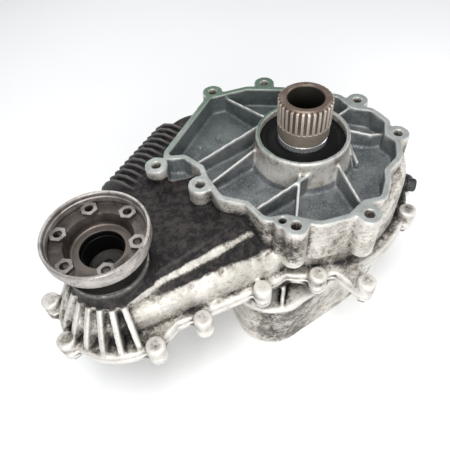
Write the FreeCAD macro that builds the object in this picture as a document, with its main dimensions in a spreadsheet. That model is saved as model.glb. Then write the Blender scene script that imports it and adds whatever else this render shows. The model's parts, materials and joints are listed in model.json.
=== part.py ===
"""Single-speed, chain-driven transfer case with a planetary centre differential.

The case stands on its rear side.  Z is the input axis and points at the gearbox,
the origin lies on that axis in the gearbox mounting face, and the front output
axis stands at -X.  Millimetres throughout.
"""
import FreeCAD, Part
import math
import os
import Sketcher

V = FreeCAD.Vector
doc = FreeCAD.newDocument("TransferCase")
sheet = doc.addObject("Spreadsheet::Sheet", "Sizes")


# ---------------------------------------------------------------- sizes ----
class Size:
    """A number that also carries the spreadsheet expression it comes from."""

    def __init__(self, value, text):
        self.value = value
        self.text = text

    def __float__(self):
        return float(self.value)

    def __add__(self, other):
        other = as_size(other)
        return Size(self.value + other.value, "(%s + %s)" % (self.text, other.text))

    def __sub__(self, other):
        other = as_size(other)
        return Size(self.value - other.value, "(%s - %s)" % (self.text, other.text))

    def __mul__(self, other):
        other = as_size(other)
        return Size(self.value * other.value, "(%s * %s)" % (self.text, other.text))

    def __truediv__(self, other):
        other = as_size(other)
        return Size(self.value / other.value, "(%s / %s)" % (self.text, other.text))

    def __neg__(self):
        return Size(-self.value, "(0 - %s)" % self.text)

    __radd__ = __add__
    __rmul__ = __mul__

    def __rsub__(self, other):
        return as_size(other) - self


def as_size(number):
    return number if isinstance(number, Size) else Size(float(number), "%.9g" % number)


ROW = [0]


def cell(alias, number):
    """Put a driving size in the next row of the sheet and hand back its Size."""
    ROW[0] += 1
    sheet.set("A%d" % ROW[0], alias.replace("_", " "))
    sheet.set("B%d" % ROW[0], "%.9g" % number)
    sheet.setAlias("B%d" % ROW[0], alias)
    return Size(float(number), "Sizes." + alias)


# layout
axis_distance = cell("axis_distance", 250)
case_depth = cell("case_depth", 84)
housing_depth = cell("housing_depth", 122)
cover_depth = cell("cover_depth", 14)
clearance = cell("clearance", 0.3)
running_gap = cell("running_gap", 0.05)

# front case
front_flange = cell("front_flange", 8)
wall = cell("wall", 6)
flange_lip = cell("flange_lip", 9)
end_lip_radius = cell("end_lip_radius", 70)
drum_radius = cell("drum_radius", 118)
drum_top = cell("drum_top", 15)
shoulder_drop = cell("shoulder_drop", 58)
shoulder_height = cell("shoulder_height", 11)
shoulder_inset = cell("shoulder_inset", 8)
ridge_drop = cell("ridge_drop", 31)
plateau_drop = cell("plateau_drop", 22)
recess_depth = cell("recess_depth", 25)
recess_floor = cell("recess_floor", 9)
land_width = cell("land_width", 7)
boss_rise = cell("boss_rise", 14)
boss_radius = cell("boss_radius", 52.5)
boss_flare = cell("boss_flare", 6)
rib_thickness = cell("rib_thickness", 3.4)
neck_radius = cell("neck_radius", 40)
neck_drop = cell("neck_drop", 9)
lug_radius = cell("lug_radius", 13)
lug_height = cell("lug_height", 58)
lug_hole = cell("lug_hole", 5.25)
lug_hole_depth = cell("lug_hole_depth", 28)
dowel_hole = cell("dowel_hole", 4)
dimple_radius = cell("dimple_radius", 2.5)
bolt_lug_radius = cell("bolt_lug_radius", 10)
bolt_lug_height = cell("bolt_lug_height", 16)
bolt_shank = cell("bolt_shank", 4)
bolt_head = cell("bolt_head", 6.5)
dowel_pin = cell("dowel_pin", 3)
end_fin_thickness = cell("end_fin_thickness", 6)
end_fins = cell("end_fins", 9)
fin_thickness = cell("fin_thickness", 4.5)
far_fins = cell("far_fins", 12)
far_fin_run = cell("far_fin_run", 112)
far_fin_reach = cell("far_fin_reach", 68)

# rear case
rear_flange = cell("rear_flange", 9)
pot_radius = cell("pot_radius", 112)
pot_wall = cell("pot_wall", 7)
pot_floor = cell("pot_floor", 82)
lobe_drop = cell("lobe_drop", 28)

# input shaft
hub_rise = cell("hub_rise", 61)
spline_radius = cell("spline_radius", 29)
spline_depth = cell("spline_depth", 2.4)
spline_length = cell("spline_length", 30)
spline_count = cell("spline_count", 30)
hub_bore = cell("hub_bore", 19.2)
hub_bore_depth = cell("hub_bore_depth", 30)
pilot_bore = cell("pilot_bore", 16)
pilot_wall = cell("pilot_wall", 2)
hub_land = cell("hub_land", 24.9)
collar_bottom = cell("collar_bottom", 17)
journal_radius = cell("journal_radius", 27.5)
sleeve_rise = cell("sleeve_rise", 14)
sleeve_drop = cell("sleeve_drop", 5)
sleeve_wall = cell("sleeve_wall", 2)
shaft_radius = cell("shaft_radius", 22)
needle_radius = cell("needle_radius", 1.5)

# bearings and seals
seal_bore = cell("seal_bore", 47.6)
seal_top = cell("seal_top", 7)
seal_bottom = cell("seal_bottom", -5)
input_bearing_radius = cell("input_bearing_radius", 45)
input_bearing_width = cell("input_bearing_width", 18)
output_shaft_radius = cell("output_shaft_radius", 17.5)
output_bearing_radius = cell("output_bearing_radius", 36)
output_bearing_width = cell("output_bearing_width", 17)
output_bearing_top = cell("output_bearing_top", 33)
lower_journal = cell("lower_journal", 15)
lower_bearing_radius = cell("lower_bearing_radius", 27.5)
lower_bearing_width = cell("lower_bearing_width", 13)
rear_journal = cell("rear_journal", 20)
rear_bearing_radius = cell("rear_bearing_radius", 40)
rear_bearing_width = cell("rear_bearing_width", 18)

# chain drive
sprocket_teeth = cell("sprocket_teeth", 24)
straight_links = cell("straight_links", 26)
chain_width = cell("chain_width", 24)
chain_plane = cell("chain_plane", 74)
chain_bite = cell("chain_bite", 1.6)

# centre differential
gear_module = cell("gear_module", 2)
sun_teeth = cell("sun_teeth", 32)
planet_teeth = cell("planet_teeth", 8)
planet_count = cell("planet_count", 4)
gear_width = cell("gear_width", 32)
gear_top = cell("gear_top", 102)
pin_radius = cell("pin_radius", 3.5)
plate_thickness = cell("plate_thickness", 6)

# output flanges
flange_radius = cell("flange_radius", 50)
flange_rise = cell("flange_rise", 38)
flange_skirt = cell("flange_skirt", 12)
flange_web = cell("flange_web", 6)
bolt_circle = cell("bolt_circle", 38)
flange_hole = cell("flange_hole", 4.25)
flange_holes = cell("flange_holes", 6)
flange_bore = cell("flange_bore", 21)
shaft_drop = cell("shaft_drop", 18)
rear_flange_radius = cell("rear_flange_radius", 48)

pitch = float(axis_distance / straight_links)
sprocket_radius = pitch * sprocket_teeth.value / (2 * math.pi)
AXIS = V(-float(axis_distance), 0, 0)


# -------------------------------------------------------------- helpers ----
PIECES = []


def bind(obj, prop, size):
    """Set a property from a size and tie it to the sheet."""
    size = as_size(size)
    setattr(obj, prop, int(size.value) if prop == "Occurrences" else size.value)
    obj.setExpression(prop, size.text)


def new_body(name, x=0, y=0):
    """A named body standing at x, y."""
    body = doc.addObject("PartDesign::Body", name)
    body.Label = name
    body.Placement.Base = V(float(as_size(x)), float(as_size(y)), 0)
    if isinstance(x, Size):
        body.setExpression("Placement.Base.x", x.text)
    if isinstance(y, Size):
        body.setExpression("Placement.Base.y", y.text)
    PIECES.append(body)
    return body


def new_feature(name, shape):
    """A named piece whose shape is made with Part's own functions."""
    feature = doc.addObject("Part::Feature", name)
    feature.Label = name
    feature.Shape = shape
    PIECES.append(feature)
    return feature


def new_sketch(body, name, height=0, plane="XY_Plane"):
    """A sketch on one of the body's own origin planes, raised by height."""
    sketch = body.newObject("Sketcher::SketchObject", name)
    base = [item for item in body.Origin.OriginFeatures if item.Role == plane][0]
    sketch.AttachmentSupport = [(base, "")]
    sketch.MapMode = "FlatFace"
    height = as_size(height)
    sketch.AttachmentOffset = FreeCAD.Placement(V(0, 0, height.value), FreeCAD.Rotation())
    if height.value:
        sketch.setExpression("AttachmentOffset.Base.z", height.text)
    return sketch


def hold(sketch, kind, geometry, point, size):
    """Fix one distance of a sketch point from the origin."""
    size = as_size(size)
    index = sketch.addConstraint(Sketcher.Constraint(kind, -1, 1, geometry, point, size.value))
    if size.text.find("Sizes.") >= 0:
        sketch.setExpression("Constraints[%d]" % index, size.text)


def add_circle(sketch, radius, x=0, y=0):
    """A circle with its radius and its centre tied to the sheet."""
    radius = as_size(radius)
    x = as_size(x)
    y = as_size(y)
    index = sketch.addGeometry(Part.Circle(V(x.value, y.value, 0), V(0, 0, 1), radius.value))
    number = sketch.addConstraint(Sketcher.Constraint("Radius", index, radius.value))
    if radius.text.find("Sizes.") >= 0:
        sketch.setExpression("Constraints[%d]" % number, radius.text)
    if x.value == 0 and y.value == 0:
        sketch.addConstraint(Sketcher.Constraint("Coincident", index, 3, -1, 1))
    else:
        hold(sketch, "DistanceX", index, 3, x)
        hold(sketch, "DistanceY", index, 3, y)


def add_polygon(sketch, points):
    """Straight edges through points, each corner held by its two distances."""
    corners = [V(float(as_size(a)), float(as_size(b)), 0) for a, b in points]
    count = len(corners)
    first = len(sketch.Geometry)
    for i in range(count):
        sketch.addGeometry(Part.LineSegment(corners[i], corners[(i + 1) % count]))
    for i in range(count):
        sketch.addConstraint(
            Sketcher.Constraint("Coincident", first + i, 2, first + (i + 1) % count, 1))
    for i, (a, b) in enumerate(points):
        hold(sketch, "DistanceX", first + i, 1, a)
        hold(sketch, "DistanceY", first + i, 1, b)


def add_edges(sketch, edges):
    """Lines and arcs that are worked out from the sizes by a function."""
    sketch.addGeometry(edges, False)


def pad(body, sketch, length, name="Pad", symmetric=False, down=False):
    feature = body.newObject("PartDesign::Pad", name)
    feature.Profile = sketch
    bind(feature, "Length", length)
    feature.Midplane = symmetric
    feature.Reversed = down
    feature.Refine = False
    return feature


def pocket(body, sketch, depth, name="Pocket", up=False):
    """Cut from the sketch downwards, or upwards where asked."""
    feature = body.newObject("PartDesign::Pocket", name)
    feature.Profile = sketch
    bind(feature, "Length", depth)
    feature.Reversed = up
    feature.Refine = False
    return feature


def turned(body, points, name="Turned", cut=False):
    """A profile of (radius, height) points turned about the body's Z axis."""
    sketch = new_sketch(body, name + "Profile", 0, "XZ_Plane")
    add_polygon(sketch, points)
    feature = body.newObject("PartDesign::Groove" if cut else "PartDesign::Revolution", name)
    feature.Profile = sketch
    feature.ReferenceAxis = (sketch, ["V_Axis"])
    feature.Angle = 360
    feature.Refine = False
    return feature


def around(body, original, count, name="Around"):
    """Repeat a feature evenly about the body's Z axis."""
    pattern = body.newObject("PartDesign::PolarPattern", name)
    pattern.Originals = [original]
    axis = [item for item in body.Origin.OriginFeatures if item.Role == "Z_Axis"][0]
    pattern.Axis = (axis, [""])
    pattern.Angle = 360
    bind(pattern, "Occurrences", count)
    pattern.Refine = False
    body.Tip = pattern
    return pattern


def arc(x, y, radius, start, end):
    """Arc of a circle from the start angle anticlockwise to the end angle, in radians."""
    return Part.ArcOfCircle(Part.Circle(V(x, y, 0), V(0, 0, 1), radius), start, end)


def hull(circles, grow=0.0):
    """Belt round circles given anticlockwise as (x, y, radius): tangent lines and arcs."""
    rings = [(float(x), float(y), float(r) + float(grow)) for x, y, r in circles]
    count = len(rings)
    normals = []
    for i in range(count):
        x0, y0, r0 = rings[i]
        x1, y1, r1 = rings[(i + 1) % count]
        heading = math.atan2(y1 - y0, x1 - x0)
        normals.append(heading - math.acos((r0 - r1) / math.hypot(x1 - x0, y1 - y0)))
    edges = []
    for i in range(count):
        x0, y0, r0 = rings[i]
        x1, y1, r1 = rings[(i + 1) % count]
        start = normals[i - 1]
        end = normals[i]
        while end < start:
            end += 2 * math.pi
        edges.append(arc(x0, y0, r0, start, end))
        edges.append(Part.LineSegment(
            V(x0 + r0 * math.cos(end), y0 + r0 * math.sin(end), 0),
            V(x1 + r1 * math.cos(end), y1 + r1 * math.sin(end), 0)))
    return edges


def rounded(points, grow=0.0):
    """Closed outline through anticlockwise corners (x, y, radius), grown outwards.

    A corner that turns inwards loses the growth from its radius, so that the land
    between the plain and the grown outline keeps one width.
    """
    count = len(points)
    moved = []
    for i in range(count):
        ax, ay, _ = points[i - 1]
        bx, by, radius = points[i]
        cx, cy, _ = points[(i + 1) % count]
        first = V(bx - ax, by - ay, 0).normalize()
        second = V(cx - bx, cy - by, 0).normalize()
        out_first = V(first.y, -first.x, 0)
        out_second = V(second.y, -second.x, 0)
        middle = (out_first + out_second).normalize()
        shift = grow / middle.dot(out_first)
        turn = first.cross(second).z
        radius = max(radius + (grow if turn > 0 else -grow), 1.5)
        moved.append((V(bx, by, 0) + middle * shift, radius))
    edges = []
    ends = []
    for i in range(count):
        before, _ = moved[i - 1]
        corner, radius = moved[i]
        after, _ = moved[(i + 1) % count]
        back = (before - corner).normalize()
        ahead = (after - corner).normalize()
        half = back.getAngle(ahead) / 2
        reach = radius / math.tan(half)
        inner = corner + (back + ahead).normalize() * (radius / math.sin(half))
        start = corner + back * reach
        end = corner + ahead * reach
        bulge = inner + (corner - inner).normalize() * radius
        ends.append((start, end))
        edges.append(Part.Arc(start, bulge, end))
    for i in range(count):
        edges.append(Part.LineSegment(ends[i][1], ends[(i + 1) % count][0]))
    return edges


def tooth_gap(sketch, outer, root, gap_outer, gap_root, angle=0.0):
    """Four-sided space between two teeth on the given angle, run 1 mm past their tips."""
    past = 1.0 if outer > root else -1.0
    gap_past = gap_outer + (gap_outer - gap_root) / (outer - root) * past
    corners = [(root, -gap_root / 2), (outer + past, -gap_past / 2),
               (outer + past, gap_past / 2), (root, gap_root / 2)]
    turned_points = [V(x * math.cos(angle) - y * math.sin(angle),
                       x * math.sin(angle) + y * math.cos(angle), 0) for x, y in corners]
    add_edges(sketch, [Part.LineSegment(turned_points[i], turned_points[(i + 1) % 4])
                       for i in range(4)])


# ------------------------------------------------------- shared outlines ----
# The arm of the case: circles whose belt is the chain housing's wall.
OUT_X = -float(axis_distance)
END = (OUT_X - 6, 6, 52)
NEAR = (-100, -5, 75)
FAR_RIGHT = (-70, 128, 56)
FAR_LEFT = (-158, 108, 40)
ARM = [END, NEAR, FAR_RIGHT, FAR_LEFT]

# Where the band below the ridge ends, and the flat top of the arm.
RIDGE = [(OUT_X, 2, 39), (-95, 0, 52), (-64, 118, 42), (-154, 88, 30)]
PLATEAU = [(OUT_X, 2, 35), (-85, 3, 36), (-60, 98, 22), (-146, 66, 20)]

# The pot of the rear case that holds the differential, and the lobe beside it, which
# starts below the bolt heads.
POT = [(0, 0, float(pot_radius)), (-34, 26, 82)]
LOBE = [(-92, -60, 48), (0, 0, float(pot_radius)), (-34, 26, 82)]

# Upright ribs outside the pot: angle and reach; plugs: name, angle and drop.
SIDE_RIBS = ((-150, 152), (-138, 148), (-112, 119), (-98, 119), (-84, 119), (-70, 119), (-46, 119),
             (-22, 119), (20, 119), (48, 119))
PLUGS = (("Fill", 6, 40), ("Drain", -35, 62))

# Bolt lugs of the gearbox flange, and the corners of the recess inside it.
GEARBOX_LUGS = [(-148, 75), (-127, 19.5), (-86, -86), (-20.5, -120), (92, -58.5), (102, 13),
                (39, 114.5), (-22, 143.5)]
DOWEL_LUG = (-92, -73)
FLOOR_DIMPLES = [(-81, 90), (-54, 91), (-40, 66)]
SHOULDER_DIMPLES = [(-192, -52), (-159, -57)]
RECESS = [(-32, 134, 7), (-131, 80, 4), (-113, 69, 8), (-107, 40, 6), (-113, 24, 8),
          (-118, -8, 9), (-101, -32, 9), (-101, -60, 8), (-84, -68, 8), (-64, -96, 10),
          (-36, -107, 9), (-12, -103, 9), (6, -111, 9), (26, -98, 9), (37, -87, 8),
          (62, -82, 9), (79, -66, 8), (79, -50, 7), (96, -35, 8), (98, -12, 8),
          (85, 6, 8), (88, 32, 9), (46, 88, 9), (14, 118, 9)]


# Fins: first angle and sweep of the fan, then start, heading and turn of the row.
END_FIN_START = 128
END_FIN_SWEEP = 128
FAR_FIN_START = (-176, 72)
FAR_FIN_HEADING = 25
FAR_FIN_TURN = 106


def on_circle(ring, angle, grow):
    """Point at an angle in degrees on a circle grown by grow."""
    x, y, radius = ring
    turn = math.radians(angle)
    reach = float(radius) + float(grow)
    return (x + reach * math.cos(turn), y + reach * math.sin(turn))


def between(circles, index, share, grow):
    """Point on the straight run of a belt that leaves the circle with this index."""
    line = hull(circles, grow)[2 * index + 1]
    spot = line.StartPoint + (line.EndPoint - line.StartPoint) * share
    return (spot.x, spot.y)


BREATHER_ANGLE = -52
END_LIP = (OUT_X, 0, float(end_lip_radius))
DRUM = (0, 0, float(drum_radius))
DRUM_LIP = 13
# Bolts that hold the two cases together, round the lip; one of them stands on a tab.
TAB_ROOT = (-39, -118)
TAB_TIP = (-39, -150)
CASE_BOLTS = ([on_circle(END_LIP, angle, grow) for angle, grow in ((148, 7), (190, 2), (268, 3))]
              + [(-199, -78), (-129, -88), (-72, -112), TAB_TIP]
              + [on_circle(DRUM, angle, DRUM_LIP + 1) for angle in (-58, -36, 2, 34, 66)]
              + [on_circle(FAR_RIGHT, 84, flange_lip + 1),
                 between(ARM, 2, 0.5, flange_lip + 1),
                 on_circle(FAR_LEFT, 128, flange_lip + 1),
                 between(ARM, 3, 0.55, flange_lip + 1)])
CASE_DOWELS = [on_circle(DRUM, -76, DRUM_LIP - 6), on_circle(END_LIP, 172, -5)]


def belt(body, name, circles, height, grow=0.0):
    """Sketch of the belt round circles, at a height."""
    sketch = new_sketch(body, name, height)
    add_edges(sketch, hull(circles, grow))
    return sketch


def discs(body, name, centres, radius, height):
    """Sketch of equal circles, at a height."""
    sketch = new_sketch(body, name, height)
    for x, y in centres:
        add_circle(sketch, radius, x, y)
    return sketch


def parting_lip(body, length, down):
    """The flange both cases share at the parting plane, with its bolt lugs."""
    parting = -case_depth
    pad(body, belt(body, "ArmLip", ARM, parting, flange_lip), length, "ArmLipPad", down=down)
    sketch = new_sketch(body, "EndLip", parting)
    add_circle(sketch, end_lip_radius, -axis_distance)
    pad(body, sketch, length, "EndLipPad", down=down)
    sketch = new_sketch(body, "DrumLip", parting)
    add_circle(sketch, drum_radius + DRUM_LIP)
    pad(body, sketch, length, "DrumLipPad", down=down)
    sketch = discs(body, "BoltLugs", CASE_BOLTS, bolt_lug_radius, parting)
    pad(body, sketch, bolt_lug_height if not down else rear_flange + 3, "BoltLugPad", down=down)
    tab = [TAB_TIP + (float(bolt_lug_radius),), TAB_ROOT + (15,)]
    pad(body, belt(body, "Tab", tab, parting), length, "TabPad", down=down)


def upright_sketch(body, name, angle, x=0.0, y=0.0):
    """Sketch in an upright plane through x, y; its first axis points along angle."""
    sketch = new_sketch(body, name, 0, "XZ_Plane")
    sketch.AttachmentOffset = FreeCAD.Placement(
        V(x, 0, -y), FreeCAD.Rotation(V(0, 1, 0), angle))
    return sketch


# ------------------------------------------------------------ front case ----
def make_front_case():
    body = new_body("front_case")
    parting = -case_depth
    parting_lip(body, front_flange, False)

    # chain housing: upright wall, rounded shoulder, band, ridge and flat top
    pad(body, belt(body, "ArmWall", ARM, parting), case_depth - shoulder_drop, "ArmWallPad")
    loft = body.newObject("PartDesign::AdditiveLoft", "ArmTop")
    loft.Profile = belt(body, "ShoulderFoot", ARM, -shoulder_drop)
    loft.Sections = [
        belt(body, "ShoulderTurn", ARM, -shoulder_drop + shoulder_height * 0.55,
             -shoulder_inset * 0.3),
        belt(body, "ShoulderTop", ARM, -shoulder_drop + shoulder_height, -shoulder_inset),
        belt(body, "RidgeFoot", RIDGE, -ridge_drop),
        belt(body, "Plateau", PLATEAU, -plateau_drop)]
    loft.Ruled = True
    loft.Refine = False
    sketch = new_sketch(body, "Neck", -shoulder_drop)
    add_circle(sketch, neck_radius, -axis_distance)
    pad(body, sketch, shoulder_drop - neck_drop, "NeckPad")

    # drum under the gearbox flange
    turned(body, [(0, parting), (drum_radius, parting), (drum_radius, -drum_top - 8),
                  (drum_radius - 3, -drum_top - 2), (drum_radius - 9, -drum_top),
                  (0, -drum_top)], "Drum")

    # gearbox flange: wall round the recess, lugs on their pillars
    sketch = new_sketch(body, "GearboxWall", -lug_height)
    add_edges(sketch, rounded(RECESS, float(land_width)))
    pad(body, sketch, lug_height, "GearboxWallPad")
    pad(body, discs(body, "Lugs", GEARBOX_LUGS, lug_radius, -lug_height), lug_height, "LugPad")
    sketch = discs(body, "DowelLug", [DOWEL_LUG], lug_radius - 4, -lug_height)
    pad(body, sketch, lug_height, "DowelLugPad")
    sketch = new_sketch(body, "Recess", 0)
    add_edges(sketch, rounded(RECESS))
    pocket(body, sketch, recess_depth, "RecessPocket")

    # boss that carries the input bearing and seal
    turned(body, [(0, -recess_depth - recess_floor), (boss_radius + boss_flare, -recess_depth - 2),
                  (boss_radius + boss_flare, -recess_depth + 0.5),
                  (boss_radius + boss_flare * 0.45, -recess_depth + 8), (boss_radius, -5),
                  (boss_radius, boss_rise - 1),
                  (boss_radius - 1, boss_rise), (0, boss_rise)], "Boss")

    # ribs from the boss to the wall: start, end, height at the start and at the end
    ribs = [((-6, 53), (-111, 56), 2, -8), ((-44, 24), (-111, 24), 2, -12),
            ((-28, -44), (-105, -40), 2, -7), ((-34, -34), (-75, -75), 3, -10),
            ((5, -48), (-13, -107), 3, -8), ((50, -8), (74, -38), -1, -6),
            ((73, -36), (92, -47), -6, -8), ((50, -27), (35, -54), -12, -14),
            ((-4, 50), (-13, 130), 3, -5), ((50, 6), (92, 12), 1, -3), ((28, 44), (50, 83), 1, -6)]
    for i, (start, end, top_in, top_out) in enumerate(ribs):
        heading = math.degrees(math.atan2(end[1] - start[1], end[0] - start[0]))
        length = math.hypot(end[0] - start[0], end[1] - start[1])
        sketch = upright_sketch(body, "Rib%d" % i, heading, start[0], start[1])
        add_polygon(sketch, [(0, -recess_depth - 2), (length, -recess_depth - 2),
                             (length, top_out), (0, top_in)])
        pad(body, sketch, rib_thickness, "RibPad%d" % i, symmetric=True)

    # cooling fins: fanned round the output end, and in a row down the far shoulder
    hinge = new_sketch(body, "OutputAxis", 0)
    hinge.AttachmentOffset = FreeCAD.Placement(AXIS, FreeCAD.Rotation())
    hinge.setExpression("AttachmentOffset.Base.x", (-axis_distance).text)
    foot = parting + front_flange - 1
    sketch = upright_sketch(body, "EndFin", END_FIN_START, OUT_X, 0)
    add_polygon(sketch, [(neck_radius - 4, foot), (end_lip_radius - 2, foot),
                         (end_lip_radius - 4, -shoulder_drop - 10), (end_lip_radius - 9, -shoulder_drop),
                         (end_lip_radius - 17, -shoulder_drop + 14), (neck_radius + 5, -ridge_drop),
                         (neck_radius, -plateau_drop - 3), (neck_radius - 4, -plateau_drop - 3)])
    fin = pad(body, sketch, end_fin_thickness, "EndFinPad", symmetric=True)
    fan = body.newObject("PartDesign::PolarPattern", "EndFins")
    fan.Originals = [fin]
    fan.Axis = (hinge, ["N_Axis"])
    fan.Angle = END_FIN_SWEEP
    bind(fan, "Occurrences", end_fins)
    fan.Refine = False
    body.Tip = fan

    row = upright_sketch(body, "FarFinRow", FAR_FIN_HEADING, FAR_FIN_START[0], FAR_FIN_START[1])
    sketch = upright_sketch(body, "FarFin", FAR_FIN_TURN, FAR_FIN_START[0], FAR_FIN_START[1])
    add_polygon(sketch, [(0, -shoulder_drop), (far_fin_reach, -shoulder_drop),
                         (far_fin_reach - 2, -shoulder_drop + 12),
                         (far_fin_reach - 20, -ridge_drop + 1), (far_fin_reach - 38, -plateau_drop - 1),
                         (0, -plateau_drop - 1)])
    fin = pad(body, sketch, fin_thickness, "FarFinPad", symmetric=True)
    comb = body.newObject("PartDesign::LinearPattern", "FarFins")
    comb.Originals = [fin]
    comb.Direction = (row, ["H_Axis"])
    bind(comb, "Length", far_fin_run)
    bind(comb, "Occurrences", far_fins)
    comb.Refine = False
    body.Tip = comb

    # cavities for the chain and the drum
    pocket(body, belt(body, "Cavity", ARM, parting, -float(wall)), case_depth - shoulder_drop + 2,
           "CavityPocket", up=True)
    sketch = new_sketch(body, "DrumCavity", parting)
    add_circle(sketch, drum_radius - wall)
    pocket(body, sketch, case_depth - recess_depth - recess_floor, "DrumCavityPocket", up=True)
    turned(body, [(0, -shoulder_drop - 2), (boss_radius, -shoulder_drop - 2),
                  (boss_radius, -recess_depth - recess_floor + 1), (0, -recess_depth)], "BossRoot")

    # input bore: seal seat, bearing seat and shaft passage
    bearing_foot = seal_bottom - input_bearing_width - 1
    turned(body, [(0, -shoulder_drop - 6), (input_bearing_radius - 4, -shoulder_drop - 6),
                  (input_bearing_radius - 4, bearing_foot), (input_bearing_radius, bearing_foot),
                  (input_bearing_radius, seal_bottom), (seal_bore, seal_bottom),
                  (seal_bore, boss_rise + 1), (0, boss_rise + 1)], "InputBore", cut=True)

    # output bore: bearing seat from below, seal seat from above
    sketch = discs(body, "OutputBearing", [(-axis_distance, 0)], output_bearing_radius,
                   -output_bearing_top)
    pocket(body, sketch, case_depth - output_bearing_top, "OutputBearingSeat")
    sketch = discs(body, "OutputPassage", [(-axis_distance, 0)], output_bearing_radius - 6, 0)
    pocket(body, sketch, output_bearing_top + 1, "OutputPassagePocket")
    sketch = discs(body, "OutputSealSeat", [(-axis_distance, 0)], output_bearing_radius - 2, 0)
    pocket(body, sketch, neck_drop + 12, "OutputSealSeatPocket")

    # holes: gearbox bolts, dowel, case bolts
    pocket(body, discs(body, "LugHoles", GEARBOX_LUGS, lug_hole, 0), lug_hole_depth, "LugHolePocket")
    pocket(body, discs(body, "DowelHole", [DOWEL_LUG], dowel_hole, 0), 16, "DowelHolePocket")
    pocket(body, discs(body, "FloorDimples", FLOOR_DIMPLES, dimple_radius, -recess_depth), 4,
           "FloorDimplePocket")
    pocket(body, discs(body, "ShoulderDimples", SHOULDER_DIMPLES, dimple_radius, -ridge_drop), 19,
           "ShoulderDimplePocket")
    pocket(body, discs(body, "BoltHoles", CASE_BOLTS, bolt_shank, parting), bolt_lug_height - 3,
           "BoltHolePocket", up=True)
    pocket(body, discs(body, "CaseDowels", CASE_DOWELS, dowel_pin, parting), 6, "CaseDowelPocket",
           up=True)
    return body


# ------------------------------------------------------------- rear case ----
def make_rear_case():
    body = new_body("rear_case")
    parting = -case_depth
    base = -case_depth - housing_depth
    floor = -case_depth - pot_floor
    parting_lip(body, rear_flange, True)
    pad(body, belt(body, "Cover", ARM, parting), cover_depth, "CoverPad", down=True)
    sketch = discs(body, "LowerBoss", [(-axis_distance, 0)], lower_bearing_radius + 6,
                   parting)
    pad(body, sketch, cover_depth + 9, "LowerBossPad", down=True)
    for name, outline, top in (("Pot", POT, parting - 2), ("Lobe", LOBE, parting - lobe_drop)):
        loft = body.newObject("PartDesign::AdditiveLoft", name)
        loft.Profile = belt(body, name + "Top", outline, top, 2)
        loft.Sections = [belt(body, name + "Foot", outline, base, -3)]
        loft.Ruled = True
        loft.Refine = False

    # upright ribs from the lip down the near side of the pot, and bosses for the plugs
    for i, (angle, reach) in enumerate(SIDE_RIBS):
        sketch = upright_sketch(body, "SideRib%d" % i, angle)
        add_polygon(sketch, [(reach - 30, parting - rear_flange + 1), (reach + 5, parting - rear_flange + 1),
                             (reach - 7, base + 22), (reach - 30, base + 22)])
        pad(body, sketch, rib_thickness + 1, "SideRibPad%d" % i, symmetric=True)
    for name, angle, drop in PLUGS:
        sketch = upright_sketch(body, name + "Boss", angle + 90)
        add_circle(sketch, 15, 0, parting - drop)
        pad(body, sketch, pot_radius + 6, name + "BossPad")

    # cavities
    pocket(body, belt(body, "Cavity", ARM, parting, -float(wall)), cover_depth - wall,
           "CavityPocket")
    pocket(body, belt(body, "PotCavity", POT, parting, -float(pot_wall)), pot_floor,
           "PotCavityPocket")
    pocket(body, belt(body, "Underside", LOBE, base, -float(pot_wall) - 3),
           housing_depth - pot_floor - 10, "UndersidePocket", up=True)
    sketch = new_sketch(body, "LobeCore", base)
    add_circle(sketch, 15, -111, -72)
    pocket(body, sketch, housing_depth - lobe_drop - 10, "LobeCorePocket", up=True)

    # neck, ribs under the floor, bearing and seal seats
    neck_foot = floor - rear_bearing_width - 9
    sketch = new_sketch(body, "Neck", floor - 2)
    add_circle(sketch, rear_bearing_radius + 8)
    pad(body, sketch, rear_bearing_width + 7, "NeckPad", down=True)
    for i, reach in enumerate((104, 104, 108, 115, 144, 107, 104, 104)):
        sketch = upright_sketch(body, "FloorRib%d" % i, 22.5 + 45 * i)
        add_polygon(sketch, [(rear_bearing_radius + 4, floor - 5), (rear_bearing_radius + 4, neck_foot + 4),
                             (reach, base + 8), (reach, floor - 5)])
        pad(body, sketch, rib_thickness + 1, "FloorRibPad%d" % i, symmetric=True)
    turned(body, [(0, neck_foot - 1), (rear_bearing_radius, neck_foot - 1),
                  (rear_bearing_radius, floor - 1), (rear_bearing_radius - 4, floor - 1),
                  (rear_bearing_radius - 4, floor + 3), (0, floor + 3)], "RearBore", cut=True)
    sketch = discs(body, "LowerBearing", [(-axis_distance, 0)], lower_bearing_radius, parting)
    pocket(body, sketch, cover_depth - wall + lower_bearing_width - 2, "LowerBearingSeat")

    # holes for the bolts, dowels and plugs
    pocket(body, discs(body, "BoltHoles", CASE_BOLTS, bolt_shank, parting), rear_flange + 4,
           "BoltHolePocket")
    pocket(body, discs(body, "CaseDowels", CASE_DOWELS, dowel_pin, parting), 6, "CaseDowelPocket")
    for name, angle, drop in PLUGS:
        sketch = upright_sketch(body, name + "Hole", angle + 90)
        add_circle(sketch, 10, 0, parting - drop)
        pocket(body, sketch, pot_radius + 8, name + "HolePocket", up=True)
    return body


# --------------------------------------------------- seals and bearings ----
def ring(name, inner, outer, bottom, top, x=0, chamfer=0.0):
    """A plain ring, its edges eased by chamfer."""
    body = new_body(name, x)
    if chamfer:
        turned(body, [(inner + chamfer, bottom), (outer - chamfer, bottom),
                      (outer, bottom + chamfer), (outer, top - chamfer), (outer - chamfer, top),
                      (inner + chamfer, top), (inner, top - chamfer), (inner, bottom + chamfer)])
    else:
        turned(body, [(inner, bottom), (outer, bottom), (outer, top), (inner, top)])
    return body


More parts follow.
